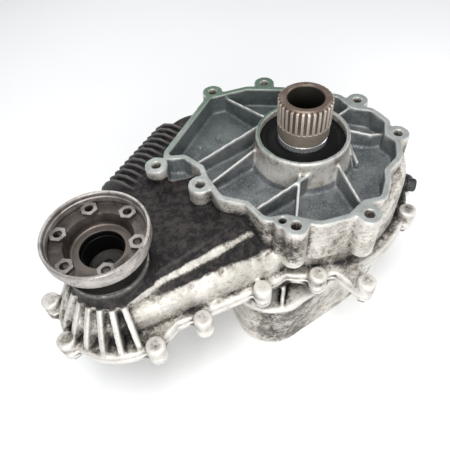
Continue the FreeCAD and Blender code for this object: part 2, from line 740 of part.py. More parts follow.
def rolling_bearing(name, inner, outer, bottom, width, x=0, count=9, rollers=False):
    """Outer race, inner race and a set of balls or rollers between them."""
    middle = (inner + outer) / 2
    size = (outer - inner) * (0.28 if not rollers else 0.22)
    top = bottom + width
    centre = bottom + width / 2
    race = (outer - inner) * 0.3
    groove = size * 0.8
    lip = size * 0.3
    outer_race = new_body(name + "_outer_race", x)
    inner_race = new_body(name + "_inner_race", x)
    gap = 0.12
    if rollers:
        turned(outer_race, [(middle + size + gap, bottom), (outer, bottom), (outer, top),
                            (middle + size + gap, top)])
        turned(inner_race, [(inner, bottom), (middle - size - gap, bottom),
                            (middle - size - gap, top), (inner, top)])
        parts = [Part.makeCylinder(float(size), float(width) * 0.8,
                                   V(float(middle), 0, float(centre) - float(width) * 0.4))]
    else:
        deep = middle + size + gap
        turned(outer_race, [(deep - lip, bottom), (outer, bottom), (outer, top), (deep - lip, top),
                            (deep - lip, centre + groove), (deep, centre + groove * 0.5),
                            (deep, centre - groove * 0.5), (deep - lip, centre - groove)])
        near = middle - size - gap
        turned(inner_race, [(inner, bottom), (near + lip, bottom), (near + lip, centre - groove),
                            (near, centre - groove * 0.5), (near, centre + groove * 0.5),
                            (near + lip, centre + groove), (near + lip, top), (inner, top)])
        parts = [Part.makeSphere(float(size), V(float(middle), 0, float(centre)))]
    spread = []
    for i in range(count):
        item = parts[0].copy()
        item.rotate(V(0, 0, 0), V(0, 0, 1), 360.0 * i / count)
        spread.append(item)
    feature = new_feature(name + ("_rollers" if rollers else "_balls"), Part.makeCompound(spread))
    feature.Placement.Base = V(float(as_size(x)), 0, 0)
    if isinstance(x, Size):
        feature.setExpression("Placement.Base.x", x.text)


def lip_seal(name, shaft, seat, bottom, top, x=0):
    """Rubber shaft seal: outer case, dished face and lip that meets the shaft."""
    body = new_body(name, x)
    width = seat - shaft
    turned(body, [(shaft + running_gap, top - 1), (shaft + 2, top - 3.2), (seat - 3, top - 3.2),
                  (seat - 3, bottom), (seat, bottom), (seat, top - 1), (seat - 1, top),
                  (seat - width * 0.3, top), (seat - width * 0.42, top - 1.4),
                  (shaft + width * 0.4, top - 1.4), (shaft + 3, top - 0.8), (shaft + 2.2, top + 0.6),
                  (shaft + running_gap, top + 0.6)])
    return body


# ------------------------------------------------------------ input shaft ----
def make_input_hub():
    body = new_body("input_hub")
    foot = -gear_top - gear_width - plate_thickness - 2
    splines_end = hub_rise - spline_length
    turned(body, [(hub_bore, -hub_bore_depth), (pilot_bore, -hub_bore_depth - 3),
                  (pilot_bore, foot), (shaft_radius - 1, foot), (shaft_radius, foot + 1),
                  (shaft_radius, seal_bottom - input_bearing_width - 3),
                  (journal_radius + 2.5, seal_bottom - input_bearing_width - 3),
                  (journal_radius + 2.5, seal_bottom - input_bearing_width - 0.7),
                  (journal_radius, seal_bottom - input_bearing_width - 0.7),
                  (journal_radius, seal_bottom - 0.4),
                  (journal_radius - sleeve_wall, seal_bottom - 0.4),
                  (journal_radius - sleeve_wall, collar_bottom - 1),
                  (spline_radius - 0.6, collar_bottom), (spline_radius - 0.6, splines_end),
                  (spline_radius, splines_end), (spline_radius, hub_rise - 3),
                  (hub_land, hub_rise), (hub_bore + 1.5, hub_rise), (hub_bore, hub_rise - 2)],
           "Shaft")
    doc.recompute()
    sketch = new_sketch(body, "SplineGap", hub_rise)
    width = 2 * math.pi * spline_radius.value / spline_count.value
    tooth_gap(sketch, spline_radius.value, (spline_radius - spline_depth).value,
              width * 0.56, width * 0.4)
    gap = pocket(body, sketch, spline_length - 1, "SplineGapPocket")
    around(body, gap, spline_count, "Splines")
    return body


def gear_body(name, teeth, outer, root, bottom, top, bore, x=0, tooth_share=0.42, phase=0.0):
    """Straight-toothed outer gear: a blank with one tooth space repeated round it."""
    body = new_body(name, x)
    turned(body, [(bore, bottom), (outer, bottom), (outer, top), (bore, top)], "Blank")
    doc.recompute()
    sketch = new_sketch(body, "ToothGap", top)
    count = as_size(teeth).value
    outer_pitch = 2 * math.pi * float(outer) / count
    root_pitch = 2 * math.pi * float(root) / count
    tooth_gap(sketch, float(outer), float(root), outer_pitch * 0.72, root_pitch * 0.38,
              math.radians(phase))
    gap = pocket(body, sketch, as_size(top) - as_size(bottom) + 1, "ToothGapPocket")
    around(body, gap, teeth, "Teeth")
    return body


# ------------------------------------------------------------ chain drive ----
def make_sprocket(name, bore, x, hub_radius, hub_top, hub_bottom):
    """Toothed wheel for the chain, with a hub."""
    body = new_body(name, x)
    top = -chain_plane + chain_width / 2 - 0.5
    bottom = -chain_plane - chain_width / 2 + 0.5
    outer = sprocket_radius - float(chain_bite) - 0.55
    root = outer - 5.0
    turned(body, [(bore, hub_bottom), (hub_radius, hub_bottom), (hub_radius, bottom),
                  (outer, bottom), (outer, top), (hub_radius, top), (hub_radius, hub_top),
                  (bore, hub_top)], "Blank")
    doc.recompute()
    sketch = new_sketch(body, "ToothGap", top)
    tooth_gap(sketch, outer, root, 7.2, 4.2)
    gap = pocket(body, sketch, chain_width, "ToothGapPocket")
    around(body, gap, sprocket_teeth, "Teeth")
    return body


def make_chain():
    """Toothed chain, one link per pitch; its teeth stand just clear of the sprockets' tips."""
    half = pitch * 0.46
    inner = -float(chain_bite)
    profile = [(-half, inner + 1.6), (-half + 0.8, inner), (-1.4, inner), (0, inner + 1.3),
               (1.4, inner), (half - 0.8, inner), (half, inner + 1.6), (half, 3.0),
               (half - 1.2, 3.8), (-half + 1.2, 3.8), (-half, 3.0)]
    width = float(chain_width)
    wire = Part.makePolygon([V(a, b, 0) for a, b in profile + profile[:1]])
    link = Part.Face(wire).extrude(V(0, 0, width))
    link.translate(V(0, 0, -float(chain_plane) - width / 2))
    links = []

    def place(x, y, heading):
        item = link.copy()
        item.rotate(V(0, 0, 0), V(0, 0, 1), heading)
        item.translate(V(x, y, 0))
        links.append(item)

    step = 360.0 / sprocket_teeth.value
    wrap = int(sprocket_teeth.value) // 2
    for i in range(int(straight_links.value) - 1):
        along = OUT_X + (i + 1) * pitch
        place(along, -sprocket_radius, 180)
        place(along, sprocket_radius, 0)
    for i in range(wrap + 1):
        turn = math.radians(-90 + i * step)
        place(sprocket_radius * math.cos(turn), sprocket_radius * math.sin(turn),
              math.degrees(turn) - 90)
        turn += math.pi
        place(OUT_X + sprocket_radius * math.cos(turn), sprocket_radius * math.sin(turn),
              math.degrees(turn) - 90)
    return new_feature("drive_chain", Part.makeCompound(links))


# ----------------------------------------------------------- output flange ----
def make_front_flange():
    body = new_body("front_output_flange", -axis_distance)
    top = flange_rise
    web_top = top - 13.5
    foot = -output_bearing_top + 0.3
    hub = output_shaft_radius + 6.5
    turned(body, [(output_shaft_radius, foot), (hub, foot), (hub, 0), (hub + 8, 6),
                  (flange_radius - 12, top - 19.5), (flange_radius - 3, top - 19.5),
                  (flange_radius - 2, top - flange_skirt - 1.5),
                  (flange_radius - 2, top - flange_skirt), (flange_radius, top - flange_skirt + 1.5),
                  (flange_radius, top - 0.8), (flange_radius - 0.8, top), (flange_radius - 2.6, top),
                  (flange_radius - 3.4, top - 2), (flange_radius - 3.4, top - 4.5),
                  (flange_radius - 4.6, top - 5), (flange_radius - 5, web_top),
                  (flange_radius - 17, web_top), (flange_radius - 20.5, top - 26),
                  (flange_bore + 6.8, top - 26.5), (flange_bore + 1, top - 26.5),
                  (flange_bore, top - 27.5), (flange_bore, 4.5), (output_shaft_radius + 2.5, 4.5),
                  (output_shaft_radius + 2.5, -shaft_drop),
                  (output_shaft_radius, -shaft_drop)], "Flange")
    doc.recompute()
    # raised six-sided seats round the bolt holes
    sketch = new_sketch(body, "Seats", web_top - 1)
    for i in range(int(flange_holes.value)):
        turn = math.radians(15 + 60 * i)
        x = bolt_circle.value * math.cos(turn)
        y = bolt_circle.value * math.sin(turn)
        corners = [V(x + 8.6 * math.cos(turn + math.radians(60 * k)),
                     y + 8.6 * math.sin(turn + math.radians(60 * k)), 0) for k in range(6)]
        add_edges(sketch, [Part.LineSegment(corners[k], corners[(k + 1) % 6]) for k in range(6)])
    pad(body, sketch, 5.5, "SeatPad")
    # holes run through a thin web
    sketch = new_sketch(body, "Holes", top)
    for i in range(int(flange_holes.value)):
        turn = math.radians(15 + 60 * i)
        add_circle(sketch, flange_hole, bolt_circle * math.cos(turn), bolt_circle * math.sin(turn))
    pocket(body, sketch, 30, "HolePocket")
    return body


def make_rear_flange():
    body = new_body("rear_output_flange")
    base = -case_depth - housing_depth
    floor = -case_depth - pot_floor
    face = base + 3
    hub_top = floor - rear_bearing_width - 1.2
    turned(body, [(rear_journal - 2, face + 1), (rear_journal + 6, face + 1), (rear_journal + 8, face),
                  (rear_flange_radius - 1, face), (rear_flange_radius, face + 1),
                  (rear_flange_radius, face + 8), (rear_flange_radius - 1, face + 9),
                  (rear_journal + 9, face + 9), (rear_journal + 7, face + 11),
                  (rear_journal + 7, hub_top), (rear_journal, hub_top), (rear_journal, face + 9),
                  (rear_journal - 2, face + 9)], "Flange")
    doc.recompute()
    sketch = new_sketch(body, "Holes", face)
    for i in range(int(flange_holes.value)):
        turn = math.radians(60 * i)
        add_circle(sketch, flange_hole, bolt_circle * math.cos(turn), bolt_circle * math.sin(turn))
    pocket(body, sketch, 12, "HolePocket", up=True)
    return body


# ------------------------------------------------------------ differential ----
def make_sun_gear():
    sun_pitch = gear_module * sun_teeth / 2
    return gear_body("sun_gear", sun_teeth, sun_pitch + gear_module * 0.8,
                     sun_pitch - gear_module * 1.15, -gear_top - gear_width + 0.5,
                     -gear_top + plate_thickness + 8, shaft_radius + needle_radius * 2)


def make_planets():
    planet_pitch = gear_module * planet_teeth / 2
    orbit = gear_module * (sun_teeth + planet_teeth) / 2
    for i in range(int(planet_count.value)):
        angle = 360.0 * i / planet_count.value
        body = gear_body("planet_gear_%d" % (i + 1), planet_teeth, planet_pitch + gear_module * 0.8,
                         planet_pitch - gear_module * 1.15, -gear_top - gear_width + 0.5,
                         -gear_top - 0.5, pin_radius + running_gap, phase=180.0 / planet_teeth.value)
        body.Placement = FreeCAD.Placement(
            V(orbit.value * math.cos(math.radians(angle)), orbit.value * math.sin(math.radians(angle)), 0),
            FreeCAD.Rotation(V(0, 0, 1), angle))


def make_carrier():
    """Two plates, joined outside the planets by four posts."""
    body = new_body("planet_carrier")
    orbit = gear_module * (sun_teeth + planet_teeth) / 2
    rim = orbit + pin_radius + 2.3
    low = -gear_top - gear_width
    turned(body, [(shaft_radius, low - plate_thickness), (rim, low - plate_thickness),
                  (rim, low), (shaft_radius, low)], "LowerPlate")
    sketch = new_sketch(body, "Posts", low - 1)
    for i in range(int(planet_count.value)):
        turn = math.radians(45 + 360.0 * i / planet_count.value)
        add_circle(sketch, 4.6, orbit * math.cos(turn), orbit * math.sin(turn))
    pad(body, sketch, gear_width + 2, "PostPad")
    turned(body, [(orbit - 5.8, -gear_top), (rim, -gear_top), (rim, -gear_top + plate_thickness),
                  (orbit - 5.8, -gear_top + plate_thickness)], "UpperPlate")
    sketch = new_sketch(body, "PinHoles", -gear_top + plate_thickness)
    for i in range(int(planet_count.value)):
        turn = math.radians(360.0 * i / planet_count.value)
        add_circle(sketch, pin_radius, orbit * math.cos(turn), orbit * math.sin(turn))
    pocket(body, sketch, gear_width + plate_thickness * 2 - 1, "PinHolePocket")
    return body


def make_planet_pins():
    orbit = gear_module * (sun_teeth + planet_teeth) / 2
    pins = []
    for i in range(int(planet_count.value)):
        turn = math.radians(360.0 * i / planet_count.value)
        pins.append(Part.makeCylinder(
            float(pin_radius), float(gear_width + plate_thickness * 2 - 2),
            V(orbit.value * math.cos(turn), orbit.value * math.sin(turn),
              -float(gear_top + gear_width + plate_thickness) + 1)))
    return new_feature("planet_pins", Part.makeCompound(pins))


def make_ring_gear():
    """Internal gear in a cup whose web drives the rear output shaft."""
    body = new_body("ring_gear")
    teeth = int(sun_teeth.value + 2 * planet_teeth.value)
    ring_pitch = gear_module * (sun_teeth + planet_teeth * 2) / 2
    tip = ring_pitch - gear_module * 0.8
    root = ring_pitch + gear_module * 1.15
    low = -gear_top - gear_width
    web = low - plate_thickness - 9
    outer = root + 7.5
    turned(body, [(rear_journal, web), (outer - 2, web), (outer, web + 2), (outer, -gear_top + 1),
                  (outer - 1, -gear_top + 2), (tip, -gear_top + 2), (tip, low),
                  (root + 0.4, low - 1), (root + 0.4, web + 6), (rear_journal, web + 6)], "Cup")
    doc.recompute()
    sketch = new_sketch(body, "ToothGap", -gear_top + 2)
    tip_pitch = 2 * math.pi * float(tip) / teeth
    root_pitch = 2 * math.pi * float(root) / teeth
    tooth_gap(sketch, float(tip), float(root), tip_pitch * 0.72, root_pitch * 0.38)
    gap = pocket(body, sketch, gear_width + 4, "ToothGapPocket")
    around(body, gap, teeth, "Teeth")
    return body


# -------------------------------------------------------------- fasteners ----
def bolt_shape(shank, head, length, top):
    """Flanged hexagon bolt pointing up, its head below; top is the shank's end."""
    hexagon = Part.makePolygon([V(head * math.cos(math.radians(60 * k)),
                                  head * math.sin(math.radians(60 * k)), 0) for k in range(7)])
    block = Part.Face(hexagon).extrude(V(0, 0, 5))
    washer = Part.makeCylinder(head + 1.2, 1.6, V(0, 0, 5))
    rod = Part.makeCylinder(shank, length + 0.5, V(0, 0, 6.1))
    shape = block.fuse(washer).fuse(rod).removeSplitter()
    shape.translate(V(0, 0, top - length - 6.6))
    return shape


def make_case_bolts():
    seat = -float(case_depth) - float(rear_flange) - 3
    top = -float(case_depth) + float(bolt_lug_height) - 4
    shapes = []
    for x, y in CASE_BOLTS:
        shape = bolt_shape(float(bolt_shank), float(bolt_head), top - seat, top)
        shape.translate(V(x, y, 0))
        shapes.append(shape)
    return new_feature("case_bolts", Part.makeCompound(shapes))


def make_small_parts():
    """Needles, dowels, magnet, plugs and breather."""
    needles = []
    for top in (-chain_plane + chain_width / 2, -gear_top - 4):
        for i in range(14):
            turn = 2 * math.pi * i / 14
            reach = float(shaft_radius + needle_radius)
            needles.append(Part.makeCylinder(
                float(needle_radius) - 0.03, 18,
                V(reach * math.cos(turn), reach * math.sin(turn), float(top) - 20)))
    new_feature("sprocket_needle_rollers", Part.makeCompound(needles))

    pins = []
    for x, y in CASE_DOWELS:
        pins.append(Part.makeCylinder(float(dowel_pin), 11, V(x, y, -float(case_depth) - 5.5)))
    new_feature("case_dowels", Part.makeCompound(pins))

    magnet = new_body("chip_magnet", -120, 0)
    magnet_floor = -case_depth - cover_depth + wall
    turned(magnet, [(4, magnet_floor), (11, magnet_floor), (11, magnet_floor + 3), (10, magnet_floor + 4),
                    (5, magnet_floor + 4), (4, magnet_floor + 3)])

    for name, angle, drop in PLUGS:
        plug = make_plug(name.lower() + "_plug")
        turn = math.radians(angle)
        reach = float(pot_radius) + 6
        plug.Placement = FreeCAD.Placement(
            V(reach * math.cos(turn), reach * math.sin(turn), -float(case_depth) - drop),
            FreeCAD.Rotation(V(0, 0, 1), angle) * FreeCAD.Rotation(V(0, 1, 0), 90))

    breather = new_body("breather")
    turned(breather, [(0, 0), (4.5, 0), (4.5, 5), (7.5, 5), (7.5, 13), (6, 14.5), (0, 14.5)])
    turn = math.radians(BREATHER_ANGLE)
    reach = float(drum_radius)
    breather.Placement = FreeCAD.Placement(
        V(reach * math.cos(turn), reach * math.sin(turn), -42),
        FreeCAD.Rotation(V(0, 0, 1), BREATHER_ANGLE) * FreeCAD.Rotation(V(0, 1, 0), 90))


def make_plug(name):
    """Flanged plug with a hexagon socket; its thread points down the local Z axis."""
    body = new_body(name)
    turned(body, [(0, -12), (9, -12), (10, -11), (10, 0.3), (14, 0.3), (14, 3.5), (11, 4.5), (11, 9),
                  (10, 10), (0, 10)])
    doc.recompute()
    sketch = new_sketch(body, "Socket", 10)
    corners = [V(6 * math.cos(math.radians(60 * k)), 6 * math.sin(math.radians(60 * k)), 0)
               for k in range(6)]
    add_edges(sketch, [Part.LineSegment(corners[k], corners[(k + 1) % 6]) for k in range(6)])
    pocket(body, sketch, 7, "SocketPocket")
    return body


# ------------------------------------------------------------------ build ----
make_front_case()
make_rear_case()
bearing_foot = seal_bottom - input_bearing_width
make_input_hub()
ring("input_seal_sleeve", journal_radius - sleeve_wall, journal_radius, -sleeve_drop + 0.1,
     sleeve_rise, chamfer=0.5)
lip_seal("input_seal", journal_radius, seal_bore, seal_bottom + 0.2, seal_top)
rolling_bearing("input_bearing", journal_radius, input_bearing_radius, bearing_foot - 0.5,
                input_bearing_width)
make_sprocket("drive_sprocket", shaft_radius + needle_radius * 2, 0, 28.5, -chain_plane + chain_width / 2 + 2,
              -gear_top + plate_thickness + 8.2)
make_sprocket("driven_sprocket", output_shaft_radius, -axis_distance, 24,
              -output_bearing_top - output_bearing_width - 0.3, -case_depth - 6)
make_chain()

output_shaft = new_body("front_output_shaft", -axis_distance)
lower_top = -case_depth - 6
turned(output_shaft, [(0, lower_top - lower_bearing_width), (lower_journal - 1, lower_top - lower_bearing_width),
                      (lower_journal, lower_top - lower_bearing_width + 1), (lower_journal, lower_top),
                      (output_shaft_radius, lower_top), (output_shaft_radius, -shaft_drop),
                      (output_shaft_radius - 2.5, -shaft_drop),
                      (output_shaft_radius - 2.5, -shaft_drop + 1.7),
                      (output_shaft_radius - 0.5, -shaft_drop + 1.7),
                      (output_shaft_radius - 0.5, -shaft_drop + 4.5),
                      (output_shaft_radius - 2, -shaft_drop + 6), (5, -shaft_drop + 6),
                      (4, -shaft_drop + 3), (0, -shaft_drop + 3)], "Shaft")
make_front_flange()
ring("front_flange_circlip", output_shaft_radius - 2.4, output_shaft_radius + 2.2,
     -shaft_drop + 0.1, -shaft_drop + 1.6, -axis_distance)
ring("front_dust_shield", output_shaft_radius + 6.5, neck_radius - 1, -neck_drop + 1, -neck_drop + 2.4,
     -axis_distance, chamfer=0.4)
lip_seal("front_output_seal", output_shaft_radius + 6.5, output_bearing_radius - 2,
         -neck_drop - 11.5, -neck_drop - 1, -axis_distance)
rolling_bearing("front_output_bearing", output_shaft_radius, output_bearing_radius,
                -output_bearing_top - output_bearing_width, output_bearing_width,
                -axis_distance, count=8)
rolling_bearing("front_shaft_tail_bearing", lower_journal, lower_bearing_radius,
                lower_top - lower_bearing_width, lower_bearing_width, -axis_distance,
                count=10, rollers=True)

make_sun_gear()
make_planets()
make_carrier()
make_planet_pins()
make_ring_gear()

floor = -case_depth - pot_floor
web = -gear_top - gear_width - plate_thickness - 9
rear_shaft = new_body("rear_output_shaft")
spigot = pilot_bore - pilot_wall
turned(rear_shaft, [(0, -case_depth - housing_depth + 14), (rear_journal - 1, -case_depth - housing_depth + 14),
                    (rear_journal, -case_depth - housing_depth + 15), (rear_journal, web + 6.5),
                    (spigot, web + 6.5), (spigot, web + 26), (spigot - 1, web + 27),
                    (0, web + 27)], "Shaft")
ring("pilot_bush", spigot + running_gap, pilot_bore, web + 8.5, web + 25.5, chamfer=0.4)
make_rear_flange()
lip_seal("rear_output_seal", rear_journal + 7, rear_bearing_radius, floor - rear_bearing_width - 8.5,
         floor - rear_bearing_width - 2.5)
rolling_bearing("rear_output_bearing", rear_journal, rear_bearing_radius, floor - rear_bearing_width - 1,
                rear_bearing_width, count=12, rollers=True)
make_case_bolts()
make_small_parts()

doc.recompute()
for obj in doc.Objects:
    if "Invalid" in obj.State or "Error" in obj.State:
        raise RuntimeError("%s did not compute: %s" % (obj.Name, obj.State))
    if obj.isDerivedFrom("PartDesign::Feature") and (obj.Shape.isNull() or not obj.Shape.isValid()
                                                     or not obj.Shape.Solids):
        raise RuntimeError("%s made no valid solid" % obj.Name)
for piece in PIECES:
    if piece.Shape.isNull() or not piece.Shape.isValid():
        raise RuntimeError("%s has no valid shape" % piece.Label)
    if piece.Label in ("front_case", "rear_case") and len(piece.Shape.Solids) != 1:
        raise RuntimeError("%s is not one casting" % piece.Label)
os.makedirs("parts", exist_ok=True)
for piece in PIECES:
    piece.Shape.exportStep("parts/%s.step" % piece.Label)
    print("%-36s %3d solids %9.1f cm3"
          % (piece.Label, len(piece.Shape.Solids), piece.Shape.Volume / 1000))
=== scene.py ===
"""Looks of the transfer case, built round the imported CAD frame.  Metres throughout."""

import json
import math

import bpy
import numpy as np
from mathutils import Matrix, Vector


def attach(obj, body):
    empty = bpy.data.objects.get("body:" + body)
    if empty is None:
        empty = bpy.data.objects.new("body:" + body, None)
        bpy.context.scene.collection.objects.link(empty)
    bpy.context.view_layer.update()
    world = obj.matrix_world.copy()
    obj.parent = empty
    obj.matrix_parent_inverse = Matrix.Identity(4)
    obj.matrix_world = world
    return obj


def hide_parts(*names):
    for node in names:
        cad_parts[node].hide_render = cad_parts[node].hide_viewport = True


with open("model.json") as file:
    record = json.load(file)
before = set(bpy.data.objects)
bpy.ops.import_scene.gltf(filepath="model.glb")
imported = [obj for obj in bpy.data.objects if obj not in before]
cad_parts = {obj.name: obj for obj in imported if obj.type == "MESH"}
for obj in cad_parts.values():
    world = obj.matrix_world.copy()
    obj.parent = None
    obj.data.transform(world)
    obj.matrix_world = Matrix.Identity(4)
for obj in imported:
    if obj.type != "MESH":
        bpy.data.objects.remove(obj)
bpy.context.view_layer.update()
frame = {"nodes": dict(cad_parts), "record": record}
NODES = frame["nodes"]
SCENE = bpy.context.scene

OUT_X = -0.250          # output axis
PARTING = -0.084        # plane where the two cases meet
BASE = -0.206           # foot of the rear case
FACE = 0.0              # gearbox face
BOSS_TOP = 0.014        # top of the input boss
ON_PLANE = 0.0004       # a point this near a machined plane lies on it
FACES_UP = 0.8          # least upward part of a machined face's normal
DARKER_SIDE = -134       # degrees round the pot
WELD_GAP = 1e-6

CAMERA_PLACE = (-0.2918, -0.2834, 0.3561)
CAMERA_AZIMUTH = math.radians(-32.27)
CAMERA_ELEVATION = math.radians(51.27)
CAMERA_ROLL = math.radians(-5.38)
CAMERA_LENS = 37.22
CAMERA_SENSOR = 36
LIGHT_AIM = (-0.08, 0, -0.06)
LIGHTS = {"key": ((-0.30, -0.25, 1.10), 0.6, 9.5),      # place, size, power
          "front": ((-0.75, -1.05, 0.50), 0.6, 10),
          "right": ((0.95, -0.45, 0.50), 0.5, 3),
          "rear": ((0.10, 0.95, 0.75), 0.7, 3)}
WORLD_COLOUR = (0.92, 0.94, 0.96, 1)
WORLD_STRENGTH = 0.46
FLOOR_HALF = 6.0

# voxel size and smoothing rounds of the two castings
FRONT_VOXEL, FRONT_ROUNDS = ((0.0014, 5))
REAR_VOXEL, REAR_ROUNDS = (0.0018), 4
CLOSE_ROUNDS = 30       # blur that finds edges and corners
WIDE_ROUNDS = 220       # blur that finds deep places

# grime on the near wall of the arm, by height; values below zero are painted highlights along the
# ridge and the shoulder
BAND_HEIGHTS = (-0.084, -0.076, -0.067, -0.057, -0.048, -0.0445, -0.0410, -0.0350,
                -0.0320, -0.0305, -0.0285, -0.0260, -0.0200, -0.0180, -0.0160)
BAND_SOOT_AND_HIGHLIGHT = (0.26, 0.20, 0.12, 0.02, -0.06, 0.14, 0.66, 0.62,
             0.30, -0.40, 0.10, 0.75, 1.0, 0.8, 0.20)

BEVEL_ANGLE = math.radians(32)
BEVELS = {"hub": 0.0003, "flange": 0.0005, "bolt": 0.0005, "seal": 0.0002, "plug": 0.0004,
          "breather": 0.0006}


# ------------------------------------------------------------ camera, stage ----
def add_camera():
    """Pinhole camera at the photograph's place."""
    back = Vector((math.sin(CAMERA_AZIMUTH) * math.cos(CAMERA_ELEVATION),
                   -math.cos(CAMERA_AZIMUTH) * math.cos(CAMERA_ELEVATION), math.sin(CAMERA_ELEVATION)))
    side = Vector((math.cos(CAMERA_AZIMUTH), math.sin(CAMERA_AZIMUTH), 0))
    up = back.cross(side)
    right = side * math.cos(CAMERA_ROLL) + up * math.sin(CAMERA_ROLL)
    top = up * math.cos(CAMERA_ROLL) - side * math.sin(CAMERA_ROLL)
    data = bpy.data.cameras.new("Camera")
    data.lens = CAMERA_LENS
    data.sensor_width = CAMERA_SENSOR
    data.clip_start = 0.01
    camera = bpy.data.objects.new("Camera", data)
    SCENE.collection.objects.link(camera)
    turn = Matrix((right, top, back)).transposed().to_4x4()
    camera.matrix_world = Matrix.Translation(CAMERA_PLACE) @ turn
    SCENE.camera = camera


def add_light(name, place, size, power):
    """Square white area light aimed at the middle of the case."""
    data = bpy.data.lights.new(name, "AREA")
    data.size = size
    data.energy = power
    lamp = bpy.data.objects.new(name, data)
    SCENE.collection.objects.link(lamp)
    lamp.location = place
    aim = Vector(LIGHT_AIM) - Vector(place)
    lamp.rotation_euler = aim.to_track_quat("-Z", "Y").to_euler()


class Shader:
    """One node material; each call adds a node and hands back its output."""

    def __init__(self, name, roughness=0.5, specular=0.5):
        self.material = bpy.data.materials.new(name)
        self.material.use_nodes = True
        self.tree = self.material.node_tree
        self.tree.nodes.clear()
        out = self.add("ShaderNodeOutputMaterial")
        self.surface = self.add("ShaderNodeBsdfPrincipled")
        self.join(self.surface.outputs[0], out.inputs[0])
        self.surface.inputs["Roughness"].default_value = roughness
        self.surface.inputs["Specular IOR Level"].default_value = specular
        self.place = self.add("ShaderNodeTexCoord").outputs["Object"]

    def add(self, kind):
        return self.tree.nodes.new(kind)

    def join(self, source, target):
        """Link an output, or set a plain value or colour."""
        if hasattr(source, "is_output"):
            self.tree.links.new(source, target)
        elif isinstance(source, (tuple, list)):
            opaque = len(source) == 3 and target.type == "RGBA"
            target.default_value = (*source, 1.0) if opaque else source
        else:
            target.default_value = source

    def noise(self, scale, detail=4.0, rough=0.55, stretch=None, warp=0.0):
        node = self.add("ShaderNodeTexNoise")
        node.inputs["Scale"].default_value = scale
        node.inputs["Detail"].default_value = detail
        node.inputs["Roughness"].default_value = rough
        node.inputs["Distortion"].default_value = warp
        place = self.place
        if stretch:
            mapping = self.add("ShaderNodeMapping")
            mapping.inputs["Scale"].default_value = stretch
            self.join(place, mapping.inputs["Vector"])
            place = mapping.outputs[0]
        self.join(place, node.inputs["Vector"])
        return node.outputs["Fac"]

    def radius(self, axis):
        """Distance from the upright axis at x = axis."""
        offset = self.add("ShaderNodeVectorMath")
        offset.operation = "SUBTRACT"
        self.join(self.place, offset.inputs[0])
        offset.inputs[1].default_value = (axis, 0, 0)
        flat = self.add("ShaderNodeVectorMath")
        flat.operation = "MULTIPLY"
        self.join(offset.outputs[0], flat.inputs[0])
        flat.inputs[1].default_value = (1, 1, 0)
        length = self.add("ShaderNodeVectorMath")
        length.operation = "LENGTH"
        self.join(flat.outputs[0], length.inputs[0])
        return length.outputs["Value"]

    def height(self):
        split = self.add("ShaderNodeSeparateXYZ")
        self.join(self.place, split.inputs[0])
        return split.outputs["Z"]

    def attribute(self, name):
        node = self.add("ShaderNodeAttribute")
        node.attribute_name = name
        return node.outputs["Fac"]

    def sum(self, *terms):
        """Weighted sum of (value, weight) pairs."""
        total = None
        for value, weight in terms:
            scaled = self.math("MULTIPLY", value, weight)
            total = scaled if total is None else self.math("ADD", total, scaled)
        return total

    def math(self, kind, a, b=0.0, clamp=False):
        node = self.add("ShaderNodeMath")
        node.operation = kind
        node.use_clamp = clamp
        self.join(a, node.inputs[0])
        self.join(b, node.inputs[1])
        return node.outputs[0]

    def step(self, value, low, high, to_low=0.0, to_high=1.0):
        """Smooth step of value from low to high."""
        node = self.add("ShaderNodeMapRange")
        node.interpolation_type = "SMOOTHSTEP"
        self.join(value, node.inputs["Value"])
        node.inputs["From Min"].default_value = low
        node.inputs["From Max"].default_value = high
        node.inputs["To Min"].default_value = to_low
        node.inputs["To Max"].default_value = to_high
        return node.outputs[0]

    def mix(self, factor, a, b):
        node = self.add("ShaderNodeMix")
        node.data_type = "RGBA"
        self.join(factor, node.inputs["Factor"])
        self.join(a, node.inputs["A"])
        self.join(b, node.inputs["B"])
        return node.outputs["Result"]

    def bump(self, height, distance, strength=1.0):
        node = self.add("ShaderNodeBump")
        node.inputs["Strength"].default_value = strength
        node.inputs["Distance"].default_value = distance
        self.join(height, node.inputs["Height"])
        self.join(node.outputs[0], self.surface.inputs["Normal"])

    def finish(self, colour, roughness=None, metallic=None):
        self.join(colour, self.surface.inputs["Base Color"])
        if roughness is not None:
            self.join(roughness, self.surface.inputs["Roughness"])
        if metallic is not None:
            self.join(metallic, self.surface.inputs["Metallic"])
        return self.material


